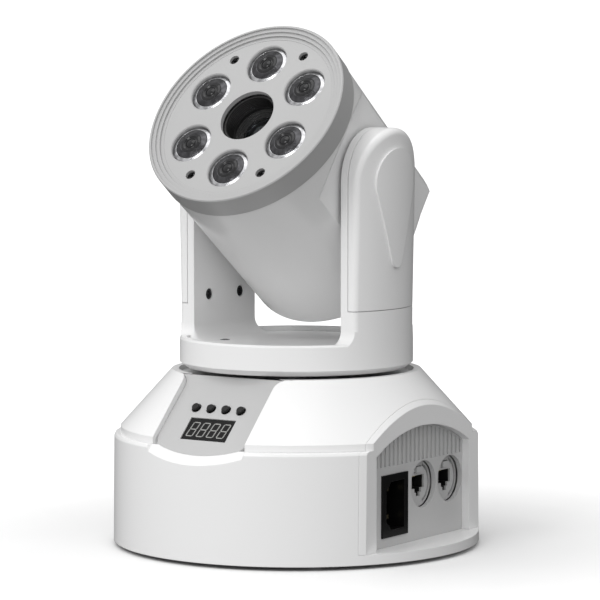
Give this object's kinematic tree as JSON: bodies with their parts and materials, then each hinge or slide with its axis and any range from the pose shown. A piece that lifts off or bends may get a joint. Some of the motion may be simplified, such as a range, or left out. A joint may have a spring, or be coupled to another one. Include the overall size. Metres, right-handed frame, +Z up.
{
  "type": "moving head light",
  "caption": "Moving head stage light: round base with control facet and rear connectors, turning two-arm yoke, tilting lamp head with a ring of lenses round a centre aperture.",
  "frame": {"origin": "where the pan axis meets the floor the feet stand on", "axes": "+Z up along the pan axis; the control panel faces -Y; the connector panel faces +X; the tilt axis is parallel to X"},
  "size_m": [0.19, 0.19, 0.2671],
  "materials": {
    "white_plastic": "satin moulded plastic",
    "face_grey": "satin painted",
    "panel_grey": "fine textured",
    "dark_plastic": "matt moulded",
    "button_black": "satin",
    "socket_grey": "moulded",
    "rubber": "matt",
    "steel": "plated",
    "painted_steel": "black coated sheet",
    "aluminium": "plain",
    "black_anodised": "black",
    "brass": "plated",
    "board_green": "solder mask",
    "board_white": "solder mask",
    "led_yellow": "phosphor",
    "mirror": "polished reflector",
    "lens_glass": "polished",
    "window_dark": "smoked window"
  },
  "bodies": {
    "base": {"base_shell": "white_plastic", "base_top_cover": "white_plastic", "bottom_plate": "painted_steel", "rubber_feet": "rubber", "bottom_screws": "steel", "control_panel": "panel_grey", "display_window": "window_dark", "display_module": "dark_plastic", "control_board": "board_green", "button_switches": "dark_plastic", "connector_frame": "white_plastic", "connector_panel": "white_plastic", "power_inlet": "dark_plastic", "inlet_pins": "brass", "data_socket_in": "socket_grey", "data_socket_out": "socket_grey", "data_jack_in": "dark_plastic", "data_jack_out": "dark_plastic", "power_supply": "steel", "main_board": "board_green", "pan_plate": "steel", "pan_bearing": "steel", "pan_motor": "steel", "pan_belt": "rubber"},
    "yoke": {"yoke_frame": "white_plastic", "yoke_bottom_plate": "painted_steel", "arm_cover_left": "white_plastic", "arm_cover_right": "white_plastic", "arm_screws": "steel", "pan_shaft": "steel", "pan_pulley": "aluminium", "tilt_bearings": "steel", "tilt_motor": "steel", "tilt_belt": "rubber"},
    "head": {"head_shell": "white_plastic", "head_front_ring": "white_plastic", "face_plate": "face_grey", "face_screws": "steel", "front_lenses": "lens_glass", "reflectors": "mirror", "led_board": "board_white", "led_chips": "led_yellow", "centre_tube": "black_anodised", "centre_lens": "lens_glass", "lens_retainer": "black_anodised", "centre_module": "aluminium", "heat_sink": "aluminium", "fan_frame": "dark_plastic", "rear_cover": "white_plastic", "tilt_shafts": "steel", "tilt_pulley": "aluminium"},
    "fan": {"fan_rotor": "dark_plastic"},
    "pan_pinion": {"pan_motor_pulley": "steel"},
    "tilt_pinion": {"tilt_motor_pulley": "steel"},
    "button_1": {"button_1": "button_black"},
    "button_2": {"button_2": "button_black"},
    "button_3": {"button_3": "button_black"},
    "button_4": {"button_4": "button_black"},
    "data_latch_in": {"data_latch_in": "dark_plastic"},
    "data_latch_out": {"data_latch_out": "dark_plastic"}
  },
  "joints": [
    {"name": "pan", "type": "hinge", "parent": "base", "child": "yoke", "pos_m": [0, 0, 0.09], "axis": [0, 0, 1], "range_deg": [-270, 270]},
    {"name": "tilt", "type": "hinge", "parent": "yoke", "child": "head", "pos_m": [0, 0, 0.1883], "axis": [1, 0, 0], "range_deg": [-147, 42]},
    {"name": "fan_spin", "type": "hinge", "parent": "head", "child": "fan", "pos_m": [0, 0, 0.1883], "axis": [0, -0.7955, 0.606], "continuous": true},
    {"name": "pan_pinion_spin", "type": "hinge", "parent": "base", "child": "pan_pinion", "pos_m": [-0.042, 0.026, 0.077], "axis": [0, 0, 1], "range_deg": [-1085, 1085]},
    {"name": "tilt_pinion_spin", "type": "hinge", "parent": "yoke", "child": "tilt_pinion", "pos_m": [0.055, 0, 0.14], "axis": [1, 0, 0], "range_deg": [-475, 140]},
    {"name": "button_1_press", "type": "slide", "parent": "base", "child": "button_1", "axis": [0, 0.7071, -0.7071], "range_m": [0, 0.0008], "stiffness_N_per_m": 400, "springref_m": -0.0002},
    {"name": "button_2_press", "type": "slide", "parent": "base", "child": "button_2", "axis": [0, 0.7071, -0.7071], "range_m": [0, 0.0008], "stiffness_N_per_m": 400, "springref_m": -0.0002},
    {"name": "button_3_press", "type": "slide", "parent": "base", "child": "button_3", "axis": [0, 0.7071, -0.7071], "range_m": [0, 0.0008], "stiffness_N_per_m": 400, "springref_m": -0.0002},
    {"name": "button_4_press", "type": "slide", "parent": "base", "child": "button_4", "axis": [0, 0.7071, -0.7071], "range_m": [0, 0.0008], "stiffness_N_per_m": 400, "springref_m": -0.0002},
    {"name": "data_latch_in_press", "type": "slide", "parent": "base", "child": "data_latch_in", "axis": [-1, 0, 0], "range_m": [0, 0.001], "stiffness_N_per_m": 400, "springref_m": -0.0002},
    {"name": "data_latch_out_press", "type": "slide", "parent": "base", "child": "data_latch_out", "axis": [-1, 0, 0], "range_m": [0, 0.001], "stiffness_N_per_m": 400, "springref_m": -0.0002}
  ],
  "couplings": [
    {"joint": "pan_pinion_spin", "follows": "pan", "ratio": 4},
    {"joint": "tilt_pinion_spin", "follows": "tilt", "ratio": 3.2}
  ]
}
